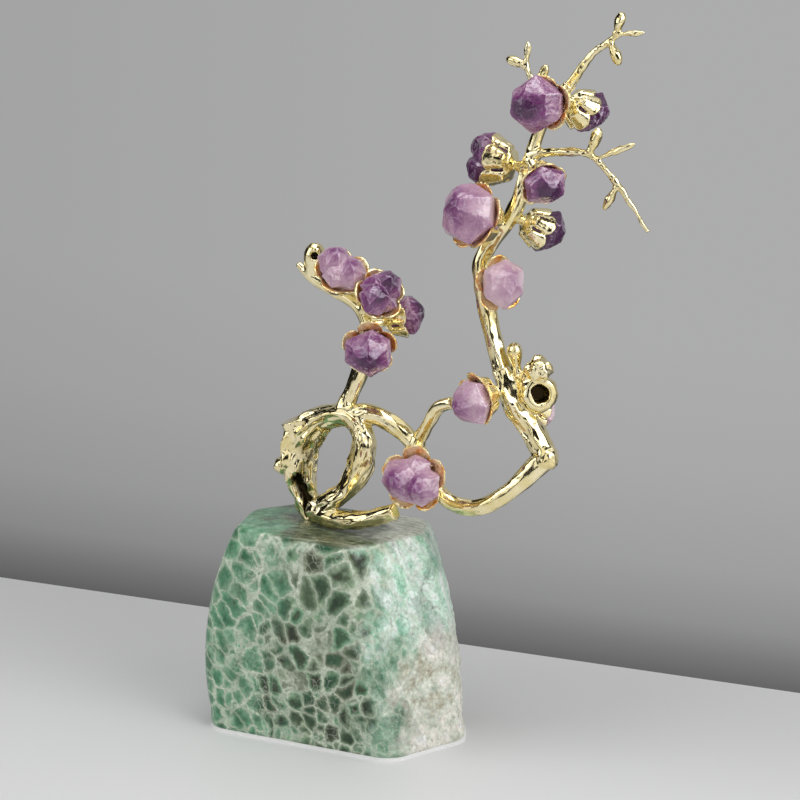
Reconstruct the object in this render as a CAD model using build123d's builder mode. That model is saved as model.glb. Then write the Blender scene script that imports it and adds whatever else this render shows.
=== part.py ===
"""Gemstone tree ornament: a gilt cast branch with amethyst blossoms, standing on a green fluorite block.

Millimetres, +Z up. The origin is the middle of the pad's underside, -Y is the ornament's front.
Every place on the tree is written as x, y and a height above the stone's polished top.
"""

import os
from math import cos, radians, sin
from typing import NamedTuple

from build123d import *

os.makedirs("parts", exist_ok=True)

# Stone block on its pad: outlines of the foot, the belly and the top, seen from above
PAD_THICKNESS = 1.2
PAD_LIP = 0.6
STONE_HEIGHT = 74.8
BELLY_HEIGHT = 22.0
CORNER_ROUND = 9.0
TOP_ROUND = 5.0
FOOT_OUTLINE = ((-47, -24), (29, -24), (43, 6), (35, 22), (-33, 23), (-49, 3))
BELLY_OUTLINE = ((-50, -24), (26, -29), (41, 6), (34, 24), (-35, 25), (-52, 4))
TOP_OUTLINE = ((-36, -20), (15, -30), (29, 4), (20, 25), (-33, 26), (-45, 7))
STONE_TOP = PAD_THICKNESS + STONE_HEIGHT

# Root pin between stone and bole
PIN_RADIUS = 1.6
PIN_IN_STONE = 12.0
PIN_IN_BOLE = 5.0
PIN_CHAMFER = 0.3
GLUE_GAP = 0.2
CAST_FIT = 0.05

# Spurs that carry a cup or a twig, their length measured from the parent's skin
SPUR_LENGTH = 2.0
SPUR_RADIUS = 1.6
SPUR_FLARE = 0.8
TWIG_FOOT = 1.7
CUT_TWIG_FOOT = 2.3
LEFT_BRANCH_FOOT = 3.0
BOLE_STUB_RADIUS = 4.4
HOLLOW_RADIUS = 4.6
HOLLOW_BORE = 2.8
HOLLOW_DEPTH = 4.0
STUB_FLAT = (30, 20, 10)

# Blossom cups, and the amethyst's profile as shares of its length and width
PETALS = 5
CUP_FOOT = 2.4
PETAL_THICKNESS = 0.7
STONE_CLEARANCE = 0.3
PETAL_RISE = 0.27
FOOT_SHARE = 0.30
PETAL_SHARE = 0.42
GIRDLE_SHARE = 0.56
LOBE_SHARE = 0.68

# Ridged section of the cast bark, and its spacing along a branch
BARK_CORNERS = 8
BARK_RIDGE = 1.05
BARK_GROOVE = 0.95
SECTION_STEP = 4.5
KNOB_LEVELS = (-65, -25, 15, 55, 75)

# Bark stations of each branch: x, y, height above the stone, radius
BOLE_AND_RING = (
    (-16, 4, 0, 4.4),
    (-20, 4, 9, 4.6),
    (-22.2, 3.5, 19, 6.6),
    (-20.4, 3, 29, 6.9),
    (-14, 2, 36, 5.4),
    (-6, 1, 39.5, 4.0),
    (1.5, 0, 39, 4.0),
    (6.5, -1.5, 32.5, 4.6),
    (6, -2.5, 23.5, 4.6),
    (1.5, -3.5, 14.5, 4.0),
    (-5, -4, 9, 3.6),
    (-11, -3, 5.5, 3.6),
)
ROOT_STUB = ((-11, -3, 5, 4.0), (-3, -6, 3.4, 3.6), (9, -9, 5.2, 3.4), (24, -11, 10.3, 2.9))
RIGHT_LOOP = (
    (0, 0, 39.5, 4.0),
    (7, 1, 41, 3.8),
    (16, 2, 38, 3.4),
    (25, 3, 30.5, 2.9),
    (30.5, 3, 21, 2.8),
    (38, 2, 13, 2.8),
    (50.5, 1, 12.5, 3.0),
    (60, 2, 18, 3.2),
    (73, 6, 31, 4.0),
)
KNOT = ((73, 6, 31, 3.8), (64, 8, 43.5, 4.2), (60, 8, 49.5, 4.5), (55, 8, 60, 3.3))
MAIN_STEM = (
    (55, 8, 60, 3.3),
    (49.5, 10, 75.5, 3.1),
    (46.5, 10, 89.5, 3.0),
    (46, 10, 95.5, 3.0),
    (48, 11, 100.5, 3.0),
    (57, 13, 114, 2.8),
    (61.5, 14, 129, 2.4),
    (67.5, 14, 145, 2.3),
    (76, 14, 156, 2.0),
)
LEFT_BRANCH = (
    (3.5, 2, 55.5, 2.9),
    (6.3, 4, 69, 2.8),
    (2.5, 5, 77.5, 2.6),
    (-10, 5, 84, 2.3),
    (-17.5, 5, 87.5, 2.0),
    (-23, 5, 92, 1.2),
)
CUT_TWIG = ((31.5, 1, 41, 2.3), (35, 0, 46, 2.3), (41, -1, 48.5, 2.2))
CROWN_TWIG = ((76, 14, 156, 2.0), (84.5, 14, 166.5, 1.4), (94, 14, 173, 1.0))
BUD_TWIG = ((64.5, 14, 154.5, 1.5), (61.5, 14, 159, 1.3), (60, 14, 164, 1.0))
SIDE_TWIG = ((74, 10, 134, 1.5), (85, 10, 133.5, 1.4), (93, 10, 126.5, 1.2), (106, 10, 109, 0.8))

# Soldered branches: root on the parent's axis, the way they leave it, the parent's radius there
STEM_WAY = (-0.36, 0.03, 0.93)
CROWN_WAY = (0.6, 0, 0.8)
LEFT_BRANCH_ROOT = ((-3, 1, 39.5), (0.25, 0.1, 0.96), 4.0)
CUT_TWIG_ROOT = ((25, 3, 30.5), (0.45, -0.15, 0.88), 2.9)
BUD_TWIG_ROOT = ((70, 14, 149), (-0.75, 0, 0.66), 2.2)
SIDE_TWIG_ROOT = ((62.5, 14, 132), (0.9, -0.28, 0.33), 2.4)
BOLE_STUB_ROOT = ((-20, 3, 27), (-0.3, -0.15, 0.94), 7.5)
HOLLOW_STUB_ROOT = ((67.5, 9.5, 52.3), (0.6, -0.79, 0.12), 4.0)


class Blossom(NamedTuple):
    """A cup with its amethyst: the branch, the root on its axis, the branch's radius there, the way it faces."""

    branch: str
    root: tuple
    branch_radius: float
    facing: tuple
    width: float
    length: float
    points: int = 1
    split_angle: float = 0


BLOSSOMS = {
    "crown_front": Blossom("main_stem", (72.5, 14, 151.5), 2.2, (0, -0.98, -0.1), 19.5, 17),
    "crown_back": Blossom("main_stem", (73.5, 14, 152.8), 2.1, (0.42, 0.74, -0.5), 16, 15),
    "upper_left": Blossom("main_stem", (61.3, 14, 128), 2.4, (-0.98, 0.05, 0.15), 18, 16, 2, 20),
    "upper_right": Blossom("main_stem", (62, 14, 130.5), 4.2, (0.62, -0.62, -0.48), 15.5, 14),
    "mid_left": Blossom("main_stem", (53.7, 12.3, 108.8), 2.9, (-0.36, -0.88, 0.3), 21.5, 18),
    "mid_right": Blossom("main_stem", (56, 12.8, 112.3), 2.8, (0.54, 0.7, -0.43), 16, 16),
    "mid_front": Blossom("main_stem", (46.7, 10, 88), 3.0, (0.79, -0.6, 0.13), 17, 15),
    "elbow_left": Blossom("trunk", (57.8, 8, 54), 4.0, (-0.45, -0.86, -0.2), 16, 15),
    "elbow_back": Blossom("trunk", (61, 8, 48), 4.4, (0.3, 0.88, -0.38), 10, 9),
    "loop_front": Blossom("trunk", (30.4, 3, 21), 2.8, (0.05, -0.99, 0.11), 21.5, 17, 2, 75),
    "left_tip": Blossom("left_branch", (-8, 5, 83), 2.4, (0.45, -0.6, 0.66), 17.4, 15, 2, 45),
    "left_mid": Blossom("left_branch", (3.9, 4.9, 76.4), 4.6, (0.68, -0.62, 0.46), 16.4, 15, 2, -45),
    "left_back": Blossom("left_branch", (6, 4.4, 72), 2.7, (0.8, 0.56, 0.2), 15.5, 15),
    "left_low": Blossom("left_branch", (6.3, 4, 68.5), 2.8, (0.42, -0.87, -0.24), 17.5, 15),
}

UPWARD = (Align.CENTER, Align.CENTER, Align.MIN)
DOWNWARD = (Align.CENTER, Align.CENTER, Align.MAX)


def spot(place):
    """The point at x, y and a height above the stone's top."""
    return Vector(place[0], place[1], STONE_TOP + place[2])


def seat_of(root, way, parent_radius):
    """The flat end of a spur, square to its way and clear of the parent's skin."""
    reach = Vector(*way).normalized() * (parent_radius + SPUR_LENGTH)
    return Plane(spot(root) + reach, x_dir=(0, 0, 1), z_dir=way)


def spur(root, way, parent_radius, end_radius):
    """A tapered spur from the parent's axis to its flat end."""
    end = seat_of(root, way, parent_radius)
    start = end.offset(-parent_radius - SPUR_LENGTH)
    loft([bark_ring(start, end_radius + SPUR_FLARE), bark_ring(end, end_radius)], ruled=True)


def blossom_seat(blossom):
    """The spur end that a blossom's cup is soldered to."""
    return seat_of(blossom.root, blossom.facing, blossom.branch_radius)


def blossom_spurs(branch):
    """Spurs for every blossom that one branch carries."""
    for blossom in BLOSSOMS.values():
        if blossom.branch == branch:
            spur(blossom.root, blossom.facing, blossom.branch_radius, SPUR_RADIUS)


def mixed(share, shares, values):
    """The value at a share of the way, in step between the two stations beside it."""
    for index in range(len(shares) - 1):
        if share <= shares[index + 1]:
            part = (share - shares[index]) / (shares[index + 1] - shares[index])
            return values[index] + (values[index + 1] - values[index]) * part
    return values[-1]


def bark_ring(plane, radius):
    """A branch's section: corners for the ridges of the bark, shallow grooves between them."""
    corners = []
    for index in range(BARK_CORNERS):
        angle = radians(360 * index / BARK_CORNERS)
        reach = radius * (BARK_GROOVE if index % 2 else BARK_RIDGE)
        corners.append((reach * cos(angle), reach * sin(angle)))
    with BuildSketch(plane) as ring:
        Polygon(*corners, align=None)
    return ring.sketch


def limb(stations, seat=None, seat_radius=None, end_way=None):
    """A tapering round branch along a smooth axis; where a seat is given it starts square on it."""
    points = [spot(station) for station in stations]
    radii = [station[3] for station in stations]
    if seat_radius:
        points.insert(0, seat.origin)
        radii.insert(0, seat_radius)
    first_way = seat.z_dir if seat else points[1] - points[0]
    last_way = Vector(*end_way) if end_way else points[-1] - points[-2]
    with BuildLine():
        axis = Spline(*points, tangents=(first_way, last_way))
    shares = [axis.param_at_point(point) for point in points]
    count = max(4, round(axis.length / SECTION_STEP))
    rings = []
    for index in range(count + 1):
        share = index / count
        square = Plane(axis @ share, x_dir=(0, 1, 0), z_dir=axis % share)
        rings.append(bark_ring(square, mixed(share, shares, radii)))
    loft(rings, ruled=True)


def bud(base, tip, radius):
    """A plump bud on a narrow neck."""
    start, way = spot(base), spot(tip) - spot(base)
    rings = []
    for share, swell in ((0, 0.45), (0.25, 0.75), (0.5, 1.0), (0.8, 0.85), (1, 0.35)):
        rings.append(bark_ring(Plane(start + way * share, z_dir=way), radius * swell))
    loft(rings, ruled=True)


def knob(place, radius):
    """A round swelling of the casting, as ridged as its bark."""
    rings = []
    for angle in KNOB_LEVELS:
        level = Plane(spot(place)).offset(radius * sin(radians(angle)))
        rings.append(bark_ring(level, radius * cos(radians(angle))))
    loft(rings, ruled=True)


def block_level(outline, height):
    """One level of the stone block, its upright edges rounded."""
    with BuildSketch(Plane.XY.offset(height)) as level:
        Polygon(*outline, align=None)
        fillet(level.vertices(), CORNER_ROUND)
    return level.sketch


def cup_foot(radius):
    """The flared foot of a cup, with a corner for each petal and each gap."""
    rings = []
    for height, reach in ((0, SPUR_RADIUS), (0.5 * CUP_FOOT, 0.7 * radius), (CUP_FOOT, radius)):
        with BuildSketch(Plane.XY.offset(height)) as ring:
            RegularPolygon(reach, 2 * PETALS)
        rings.append(ring.sketch)
    with BuildPart() as flare:
        loft(rings, ruled=True)
    return flare.part


def petal(blossom):
    """One petal in the cup's own frame: creased along the middle, wrapped round the lower amethyst."""
    foot = FOOT_SHARE * blossom.width + STONE_CLEARANCE
    rim = PETAL_SHARE * blossom.width + STONE_CLEARANCE
    rise = PETAL_RISE * blossom.length
    levels = (
        (-0.5 * CUP_FOOT, 0.4 * foot, 26),
        (0.0, foot / cos(radians(15)), 30),
        (rise, rim / cos(radians(17)), 33),
        (1.3 * rise, 1.05 * rim / cos(radians(10)), 22),
        (1.45 * rise, 1.09 * rim, 8),
    )
    slices = []
    for height, inside, spread in levels:
        outside = inside + PETAL_THICKNESS
        corners = (
            (inside, -spread),
            (outside, -spread),
            (outside, 0),
            (outside, spread),
            (inside, spread),
            (inside, 0),
        )
        with BuildSketch(Plane.XY.offset(height)) as piece:
            Polygon(*[(r * cos(radians(a)), r * sin(radians(a))) for r, a in corners], align=None)
        slices.append(piece.sketch)
    with BuildPart() as single:
        loft(slices, ruled=True)
    return single.part


def crystal(width, length, spread, turn):
    """A rough six-sided amethyst point on a flat foot; a spread sets it aside from the middle."""
    levels = (
        (0, FOOT_SHARE, FOOT_SHARE * spread),
        (0.35, PETAL_SHARE, PETAL_SHARE * spread),
        (0.55, GIRDLE_SHARE, GIRDLE_SHARE * spread),
        (0.76, 0.42, GIRDLE_SHARE * spread + 0.05 * width),
        (1, 0.1, GIRDLE_SHARE * spread + 0.12 * width),
    )
    slices = []
    for height, share, aside in levels:
        with BuildSketch(Plane.XY.offset(height * length)) as level:
            with Locations((aside, 0)):
                RegularPolygon(width * share, 6, rotation=turn)
        slices.append(level.sketch)
    with BuildPart() as point:
        loft(slices, ruled=True)
    return point.part


with BuildPart() as foot_pad:
    with BuildSketch() as pad_outline:
        Polygon(*FOOT_OUTLINE, align=None)
        fillet(pad_outline.vertices(), CORNER_ROUND)
        offset(amount=PAD_LIP)
    extrude(amount=PAD_THICKNESS)
foot_pad.part.label = "foot_pad"
export_step(foot_pad.part, "parts/foot_pad.step")

with BuildPart() as stone_base:
    loft(
        [
            block_level(FOOT_OUTLINE, PAD_THICKNESS),
            block_level(BELLY_OUTLINE, PAD_THICKNESS + BELLY_HEIGHT),
            block_level(TOP_OUTLINE, STONE_TOP),
        ]
    )
    fillet(stone_base.faces().sort_by(Axis.Z)[-1].edges(), TOP_ROUND)
    with Locations(spot(BOLE_AND_RING[0])):
        Hole(PIN_RADIUS + GLUE_GAP, PIN_IN_STONE)
stone_base.part.label = "stone_base"
export_step(stone_base.part, "parts/stone_base.step")

with BuildPart(Plane(spot(BOLE_AND_RING[0])).offset(-PIN_IN_STONE)) as root_dowel:
    Cylinder(PIN_RADIUS, PIN_IN_STONE + PIN_IN_BOLE, align=UPWARD)
    chamfer(root_dowel.faces().sort_by(Axis.Z)[-1].edges(), PIN_CHAMFER)
root_dowel.part.label = "root_dowel"
export_step(root_dowel.part, "parts/root_dowel.step")

with BuildPart() as trunk:
    limb(BOLE_AND_RING, seat=Plane(spot(BOLE_AND_RING[0])))
    limb(ROOT_STUB)
    limb(RIGHT_LOOP)
    limb(KNOT, end_way=STEM_WAY)
    knob((-11, -3, 5.2), 4.6)
    spur(*BOLE_STUB_ROOT, BOLE_STUB_RADIUS)
    knob((-29.2, 3, 18.3), 3.2)
    knob((73, 6, 31), 4.4)
    knob((69.5, 6.5, 61), 4.2)
    bud((60.5, 8, 52), (69.5, 6.5, 62), 3.4)
    bud((62, 7.5, 55.5), (59.8, 7.5, 69.5), 2.5)
    spur(*LEFT_BRANCH_ROOT, LEFT_BRANCH_FOOT)
    spur(*CUT_TWIG_ROOT, CUT_TWIG_FOOT)
    spur(*HOLLOW_STUB_ROOT, HOLLOW_RADIUS)
    blossom_spurs("trunk")
    with Locations(seat_of(*HOLLOW_STUB_ROOT)):
        Cylinder(HOLLOW_BORE, HOLLOW_DEPTH, align=DOWNWARD, mode=Mode.SUBTRACT)
    with Locations(spot((ROOT_STUB[1][0], ROOT_STUB[1][1], 0))):
        Box(*STUB_FLAT, align=DOWNWARD, mode=Mode.SUBTRACT)
    with Locations(spot(BOLE_AND_RING[0])):
        Cylinder(PIN_RADIUS + CAST_FIT, PIN_IN_BOLE + CAST_FIT, align=UPWARD, mode=Mode.SUBTRACT)
trunk.part.label = "trunk"
export_step(trunk.part, "parts/trunk.step")

with BuildPart() as main_stem:
    limb(MAIN_STEM, seat=Plane(spot(MAIN_STEM[0]), z_dir=STEM_WAY), end_way=CROWN_WAY)
    spur(*BUD_TWIG_ROOT, TWIG_FOOT)
    spur(*SIDE_TWIG_ROOT, TWIG_FOOT)
    blossom_spurs("main_stem")
main_stem.part.label = "main_stem"
export_step(main_stem.part, "parts/main_stem.step")

with BuildPart() as left_branch:
    limb(LEFT_BRANCH, seat=seat_of(*LEFT_BRANCH_ROOT), seat_radius=LEFT_BRANCH_FOOT)
    bud((-17.5, 5, 87.5), (-15.4, 5, 100), 3.4)
    blossom_spurs("left_branch")
left_branch.part.label = "left_branch"
export_step(left_branch.part, "parts/left_branch.step")

with BuildPart() as cut_twig:
    limb(CUT_TWIG, seat=seat_of(*CUT_TWIG_ROOT), seat_radius=CUT_TWIG_FOOT)
cut_twig.part.label = "cut_twig"
export_step(cut_twig.part, "parts/cut_twig.step")

with BuildPart() as crown_twig:
    limb(CROWN_TWIG, seat=Plane(spot(CROWN_TWIG[0]), z_dir=CROWN_WAY))
    bud((92, 14, 172), (94, 14, 179.5), 2.1)
    bud((93, 14, 172.5), (102, 14, 173), 1.1)
    bud((90, 14, 170.5), (93.5, 14, 162.5), 2.0)
crown_twig.part.label = "crown_twig"
export_step(crown_twig.part, "parts/crown_twig.step")

with BuildPart() as crown_bud_twig:
    limb(BUD_TWIG, seat=seat_of(*BUD_TWIG_ROOT), seat_radius=TWIG_FOOT)
    bud((60.5, 14, 162), (53, 14, 164.5), 2.0)
    bud((60.3, 14, 163), (61, 14, 170), 1.3)
    bud((64.5, 14, 154.5), (67.5, 15, 162.5), 1.8)
crown_bud_twig.part.label = "crown_bud_twig"
export_step(crown_bud_twig.part, "parts/crown_bud_twig.step")

with BuildPart() as side_twig:
    limb(SIDE_TWIG, seat=seat_of(*SIDE_TWIG_ROOT), seat_radius=TWIG_FOOT)
    bud((85, 10, 133.5), (88.5, 10, 142.5), 2.2)
    bud((87, 10, 132), (101, 10, 137.5), 1.2)
    bud((95, 10, 124), (90.5, 10, 115.5), 1.8)
side_twig.part.label = "side_twig"
export_step(side_twig.part, "parts/side_twig.step")

for index, (name, blossom) in enumerate(BLOSSOMS.items()):
    with BuildPart(blossom_seat(blossom)) as cup:
        add(cup_foot(FOOT_SHARE * blossom.width + PETAL_THICKNESS))
        with Locations((0, 0, CUP_FOOT)):
            with PolarLocations(0, PETALS):
                add(petal(blossom))
    cup.part.label = f"cup_{name}"
    export_step(cup.part, f"parts/cup_{name}.step")

    with BuildPart(blossom_seat(blossom).offset(CUP_FOOT)) as amethyst:
        lobe = blossom.width if blossom.points == 1 else LOBE_SHARE * blossom.width
        with PolarLocations(0, blossom.points, start_angle=blossom.split_angle):
            add(crystal(lobe, blossom.length, blossom.width - lobe, 25 * index))
    amethyst.part.label = f"amethyst_{name}"
    export_step(amethyst.part, f"parts/amethyst_{name}.step")
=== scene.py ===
import math
import random
from collections import namedtuple
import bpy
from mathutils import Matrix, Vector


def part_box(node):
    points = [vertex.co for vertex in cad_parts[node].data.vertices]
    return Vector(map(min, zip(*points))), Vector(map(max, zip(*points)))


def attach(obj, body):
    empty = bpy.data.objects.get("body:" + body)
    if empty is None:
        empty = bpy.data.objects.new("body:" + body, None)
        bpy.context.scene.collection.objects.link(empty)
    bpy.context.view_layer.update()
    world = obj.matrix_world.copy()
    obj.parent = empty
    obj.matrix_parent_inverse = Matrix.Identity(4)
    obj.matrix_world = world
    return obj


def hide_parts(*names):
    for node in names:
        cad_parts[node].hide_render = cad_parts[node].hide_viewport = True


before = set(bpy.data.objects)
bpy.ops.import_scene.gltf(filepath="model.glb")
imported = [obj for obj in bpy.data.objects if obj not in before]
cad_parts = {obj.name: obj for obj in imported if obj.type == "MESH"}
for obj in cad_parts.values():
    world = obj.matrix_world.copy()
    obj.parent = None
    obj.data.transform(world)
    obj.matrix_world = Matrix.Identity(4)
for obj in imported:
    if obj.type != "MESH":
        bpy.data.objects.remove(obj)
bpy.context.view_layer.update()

from types import SimpleNamespace

import bmesh
import bpy
from mathutils import Matrix, Vector, noise

MM = 0.001
STONE_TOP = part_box("stone_base")[1].z

# Branch stations: x, y, height above the stone (mm) and radius (mm)
BOLE_AND_RING = (
    (-16, 4, 0.2, 4.4), (-20, 4, 9, 4.6), (-22.2, 3.5, 19, 6.6), (-20.4, 3, 29, 6.9), (-14, 2, 36, 5.4),
    (-6, 1, 39.5, 4.0), (1.5, 0, 39, 4.0), (6.5, -1.5, 32.5, 4.6), (6, -2.5, 23.5, 4.6),
    (1.5, -3.5, 14.5, 4.0), (-5, -4, 9, 3.6), (-11, -3, 5.5, 3.6),
)
ROOT_STUB = ((-11, -3, 5, 4.0), (-3, -6, 3.6, 3.5), (9, -9, 5.2, 3.4), (24, -11, 10.3, 2.9))
RIGHT_LOOP = (
    (0, 0, 39.5, 4.0), (7, 1, 41, 3.8), (16, 2, 38, 3.4), (25, 3, 30.5, 2.9), (30.5, 3, 21, 2.8),
    (38, 2, 13, 2.8), (50.5, 1, 12.5, 3.0), (60, 2, 18, 3.2), (73, 6, 31, 4.0),
)
KNOT = ((73, 6, 31, 3.8), (64, 8, 43.5, 4.6), (60, 8, 49.5, 5.2), (55, 8, 60, 3.4))
KNOT_BUD = (
    (62, 7.5, 55.5, 1.7), (61, 7.5, 61.5, 1.5), (60.5, 7.5, 64, 2.3), (60.2, 7.5, 66.3, 2.7),
    (60, 7.5, 68.3, 2.2), (59.9, 7.5, 69.4, 1.0),
)
MAIN_STEM = (
    (55.4, 8, 59, 3.3), (49.5, 10, 75.5, 3.1), (46.5, 10, 89.5, 3.0), (46, 10, 95.5, 3.0),
    (48, 11, 100.5, 3.0), (57, 13, 114, 2.8), (61.5, 14, 129, 2.4), (67.5, 14, 145, 2.3), (76, 14, 156, 2.0),
)
LEFT_BRANCH = (
    (-1.8, 1.5, 44, 3.1), (3.5, 2, 55.5, 2.9), (6.3, 4, 69, 2.8), (2.5, 5, 77.5, 2.6), (-10, 5, 84, 2.3),
    (-17.5, 5, 87.5, 2.0), (-23, 5, 92, 1.2),
)
CLAW = (
    (-17.5, 5, 87.5, 1.9), (-16.9, 4.8, 90.5, 2.6), (-16.3, 4.7, 93, 3.5), (-15.9, 4.6, 95.6, 3.7),
    (-15.5, 4.6, 98, 3.1), (-15.4, 4.8, 99.6, 1.8),
)
CUT_TWIG = ((26.8, 2.4, 34, 2.4), (31.5, 1, 41, 2.3), (35, 0, 46, 2.3), (41, -1, 48.5, 2.2))
CROWN_TWIG = ((75.6, 14, 155.4, 2.0), (84.5, 14, 166.5, 1.4), (94, 14, 173, 1.0))
BUD_TWIG = ((67.6, 14, 151, 1.7), (64.5, 14, 154.5, 1.5), (61.5, 14, 159, 1.3), (60, 14, 164, 1.0))
SIDE_TWIG = (
    (65.8, 13, 133.2, 1.8), (74, 10, 134, 1.5), (85, 10, 133.5, 1.4), (93, 10, 126.5, 1.2),
    (106, 10, 109, 0.8),
)

# Thin twigs: stations, seed of their bark, and buds as base, tip, radius and seed
TWIGS = {
    "crown_twig": (CROWN_TWIG, 17, (
        ((92, 14, 172), (94, 14, 179.5), 2.1, 18),
        ((93, 14, 172.5), (102, 14, 173), 1.1, 19),
        ((90, 14, 170.5), (93.5, 14, 162.5), 2.0, 20),
    )),
    "crown_bud_twig": (BUD_TWIG, 21, (
        ((60.5, 14, 162), (53, 14, 164.5), 2.0, 22),
        ((60.3, 14, 163), (61, 14, 170), 1.3, 23),
        ((64.5, 14, 154.5), (67.5, 15, 162.5), 1.8, 24),
    )),
    "side_twig": (SIDE_TWIG, 25, (
        ((85, 10, 133.5), (88.5, 10, 142.5), 2.2, 26),
        ((87, 10, 132), (101, 10, 137.5), 1.2, 27),
        ((95, 10, 124), (90.5, 10, 115.5), 1.8, 28),
    )),
}

# Shares of a bud's length, and its radius there as a share of the widest
BUD_PROFILE = (
    (0, 0.55), (0.12, 0.75), (0.2, 0.62), (0.34, 0.82), (0.55, 1.0), (0.78, 0.9), (0.93, 0.6), (1, 0.3),
)

# Sizes of the castings, in mm: spurs under the cups, cup feet, steps of the skins and of the branches' axes
SPUR_LENGTH = 2.0
SPUR_RADIUS = 1.6
CUP_FOOT = 2.4
CAST_VOXEL = 0.42
THIN_VOXEL = 0.3
AMETHYST_VOXEL = 0.32
STONE_VOXEL = 0.75
AXIS_STEP = 0.5
TWIG_LUMPS = 0.34

# First seeds of the bark on the spurs and on the cups
SPUR_SEED = 40
CUP_SEED = 60

# Branches: corners of a section, how fast the ridges turn (radians in a mm), strength of the swellings
LIMB_SIDES = 28
LIMB_TURN = 0.035
LIMB_SWELL = 0.10

# Hollow ends: where the stub starts, its way, how far its mouth is, bore and depth
Hole = namedtuple("Hole", "root way length bore depth")
HOLES = {
    "trunk": Hole((67.5, 9.5, 52.3), (0.6, -0.79, 0.12), 4.0 + SPUR_LENGTH, 2.9, 4.2),
    "left_branch": Hole((-14.6, 2.0, 95.5), (0.42, -0.88, 0.22), 0.0, 1.2, 2.0),
}
HOLLOW_STUB = ((-0.6, 4.4), (-0.2, 6.0), (0.25, 6.7), (0.62, 6.5), (0.88, 5.7), (1.0, 4.9))

# Grooves in the bole's front: points along them, half width, depth, darkness of their painted shade
GROOVES = (
    (((-20.3, -0.6, 14.5), (-18.3, -0.8, 9.5), (-15.6, -0.4, 3.5)), 3.7, 1.9, 1.0),
    (((-17.5, -1.5, 27), (-16.2, -0.6, 21), (-17.5, -1.0, 17)), 3.8, 1.5, 0.3),
)

# Blossoms: the branch and its radius there, the way they face, the stone's size, its number of points and the
# angle between them, depth of colour (tone), and how amber the petals are
Blossom = namedtuple("Blossom", "branch root radius way width length points split tone amber")
BLOSSOMS = {
    "crown_front": Blossom("main_stem", (72.5, 14, 151.5), 2.2, (0, -0.98, -0.1), 16.6, 16.5, 1, 0, 0.72, 0.4),
    "crown_back": Blossom("main_stem", (73.5, 14, 152.4), 1.0, (0.42, 0.74, -0.5), 14, 13, 1, 0, 1.5, 0.0),
    "upper_left": Blossom("main_stem", (61.3, 14, 128), 2.4, (-0.98, 0.05, 0.15), 17.6, 16, 2, 20, 1.25, 0.1),
    "upper_right": Blossom("main_stem", (62, 14, 130.5), 4.2, (0.62, -0.62, -0.48), 14.2, 13, 1, 0, 0.9, 0.5),
    "mid_left": Blossom("main_stem", (53.5, 12.3, 108), 2.9, (-0.36, -0.88, 0.3), 20, 18, 1, 0, 0.4, 0.7),
    "mid_right": Blossom("main_stem", (56, 12.8, 112.3), 2.8, (0.54, 0.7, -0.43), 14, 14.5, 1, 0, 1.8, 0.0),
    "mid_front": Blossom("main_stem", (46.7, 10, 88), 3.0, (0.79, -0.6, 0.13), 15.2, 14.5, 1, 0, 0.12, 0.9),
    "elbow_left": Blossom("trunk", (57.8, 8, 54), 4.0, (-0.45, -0.86, -0.2), 15.4, 15, 1, 0, 0.28, 0.8),
    "elbow_back": Blossom("trunk", (61, 8, 48), 4.4, (0.3, 0.88, -0.38), 10, 9, 1, 0, 0.2, 0.0),
    "loop_front": Blossom("trunk", (30.4, 3, 21), 2.8, (0.05, -0.99, 0.11), 19.6, 17, 2, 75, 0.36, 0.9),
    "left_tip": Blossom("left_branch", (-7, 5.2, 82.7), 2.4, (0.45, -0.6, 0.66), 17.2, 15, 2, 45, 0.28, 0.4),
    "left_mid": Blossom("left_branch", (4.5, 5, 77.4), 4.6, (0.68, -0.62, 0.46), 16.2, 15, 2, -45, 0.78, 0.3),
    "left_back": Blossom("left_branch", (6, 4.4, 72), 2.7, (0.8, 0.56, 0.2), 13.4, 13, 1, 0, 1.0, 0.1),
    "left_low": Blossom("left_branch", (6.8, 4.2, 69), 2.8, (0.42, -0.87, -0.24), 16.2, 15, 1, 0, 0.66, 0.7),
}
PETALS = 5
PETAL_ROWS = 16
PETAL_COLUMNS = 14

# Ways in which the tips of the amethysts lean
LEANS = {
    "crown_front": (-0.4, -0.2, 0.0),
    "crown_back": (0.35, 0.2, 0.05),
    "mid_left": (-0.15, -0.1, 0.2),
    "upper_left": (-0.2, -0.1, 0.1),
    "loop_front": (0.0, 0.0, -0.22),
    "left_low": (-0.05, 0.0, -0.15),
    "elbow_left": (-0.05, 0.0, -0.1),
}
USUAL_LEAN = (0.0, 0.0, 0.1)

# An amethyst point: shares of its length, and its reach there as a share of its width
POINT_LEVELS = ((0.0, 0.29), (0.16, 0.38), (0.36, 0.47), (0.55, 0.575), (0.75, 0.46), (0.93, 0.20))
POINT_SIDES = 6
POINT_CHIPS = 6
# Amethysts of two points: width of one as a share of both, and small points between them as turn, width,
# length and distance from the middle
LOBE_SHARE = 0.68
SIDE_POINTS = ((90, 0.55, 0.86, 0.17), (270, 0.5, 0.72, 0.18))

# Linear colours of the gilding; the warm and dark crease colours and the deepest one are painted shade
GILT_PALE, GILT_BRIGHT = (0.85, 0.72, 0.36), (0.96, 0.86, 0.55)
GILT_CREASE_SHADE_WARM, GILT_CREASE_SHADE_DARK, GILT_PAINTED_SHADE = (0.50, 0.37, 0.11), (0.16, 0.115, 0.04), (0.02, 0.014, 0.006)
AMBER_DEEP, AMBER_PALE = (0.84, 0.38, 0.05), (1.0, 0.87, 0.48)

# Linear colours of the amethysts, by depth of colour
AMETHYST_DEPTHS = (
    (0.0, (0.86, 0.66, 0.72)), (0.26, (0.57, 0.34, 0.47)), (0.58, (0.25, 0.07, 0.22)),
    (1.0, (0.07, 0.008, 0.07)),
)
# whitening of the edges and cracks, and the colour of the painted sheen on the facets
FROST_AND_SHEEN = (0.78, 0.72, 0.86)

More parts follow.
